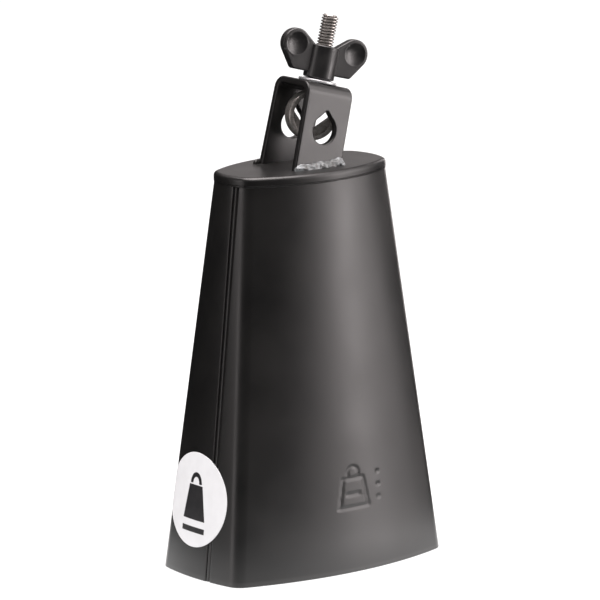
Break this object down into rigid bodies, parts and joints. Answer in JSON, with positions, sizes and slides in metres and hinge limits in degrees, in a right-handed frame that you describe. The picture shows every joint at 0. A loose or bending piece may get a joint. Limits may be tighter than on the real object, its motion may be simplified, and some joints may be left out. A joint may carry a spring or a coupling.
{
  "type": "cowbell",
  "caption": "Hand percussion cowbell: tapered steel bell of two welded half shells and a cap, with a leaning U bracket, eye bolt and wing nut that clamp it to a rod.",
  "frame": {"origin": "centre of the open mouth, on the plane of the mouth's rim", "axes": "+Z from the mouth to the cap; the wide faces look along +Y and -Y; the bracket leans towards +X"},
  "size_m": [0.131, 0.0798, 0.2604],
  "materials": {
    "black_paint": "satin black powder coat",
    "weld_steel": "bare lumpy weld bead, silvery",
    "nickel_steel": "dull nickel plate",
    "chrome_plate": "bright zinc or chrome plate",
    "black_casting": "satin black coated casting",
    "label_film": "smooth white film with a plain black printed shape"
  },
  "bodies": {
    "bell": {"shell_front": "black_paint", "shell_rear": "black_paint", "seam_weld_left": "black_paint", "seam_weld_right": "black_paint", "top_cap": "black_paint", "cap_weld": "black_paint", "bracket": "black_paint", "bracket_weld_front": "weld_steel", "bracket_weld_rear": "black_paint", "label": "label_film"},
    "nut": {"wing_nut": "black_casting"},
    "bolt": {"eye_bolt": "nickel_steel"},
    "washer": {"washer": "chrome_plate"}
  },
  "joints": [
    {"name": "wing_nut_turn", "type": "hinge", "parent": "bell", "child": "nut", "pos_m": [0.00057, 0, 0.19044], "axis": [0.2571, 0, 0.9664], "range_deg": [-72, 2430]},
    {"name": "eye_bolt_lift", "type": "slide", "parent": "bell", "child": "bolt", "axis": [0.2571, 0, 0.9664], "range_m": [-0.0096, 0.0003]},
    {"name": "washer_turn", "type": "hinge", "parent": "bell", "child": "washer", "pos_m": [0.00057, 0, 0.19044], "axis": [0.2571, 0, 0.9664], "continuous": true}
  ],
  "couplings": [
    {"joint": "eye_bolt_lift", "follows": "wing_nut_turn", "m_per_rad": -0.00022457}
  ]
}
